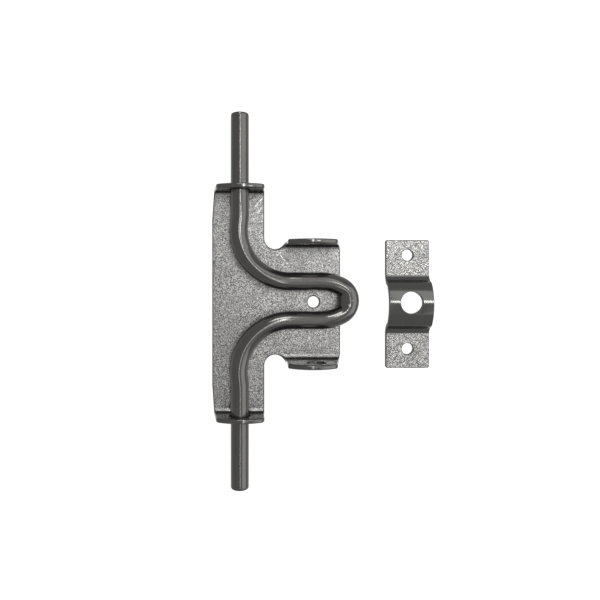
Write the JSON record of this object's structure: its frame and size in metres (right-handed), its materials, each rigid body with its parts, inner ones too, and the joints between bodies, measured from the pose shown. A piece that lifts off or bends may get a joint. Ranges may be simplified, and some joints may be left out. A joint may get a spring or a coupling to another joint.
{
  "type": "slide bolt latch",
  "caption": "Slide bolt for a gate or door: a bent round bar with a loop handle slides in the end ears of a folded plate with padlock ears, with an arched keeper strap.",
  "frame": {"origin": "on the plate's flat back, under the bolt's axis, midway between the two guide ears", "axes": "+Z out of the plate's front, +Y along the bolt, +X from the bolt towards the wing with the padlock ears"},
  "size_m": [0.1526, 0.256, 0.0342],
  "materials": {
    "plate_coating": "semi-gloss dark grey paint with a fine grainy skin",
    "rod_coating": "smooth semi-gloss dark grey paint, scuffed at the loop's tip and the ends",
    "keeper_coating": "semi-gloss dark grey paint, grainy on the feet and smooth on the arch"
  },
  "bodies": {
    "plate": {"back_plate": "plate_coating", "keeper": "keeper_coating"},
    "bolt": {"bolt_rod": "rod_coating"}
  },
  "joints": [
    {"name": "bolt_slide", "type": "slide", "parent": "plate", "child": "bolt", "axis": [0, 1, 0], "range_m": [-0.0207, 0.0183]}
  ]
}
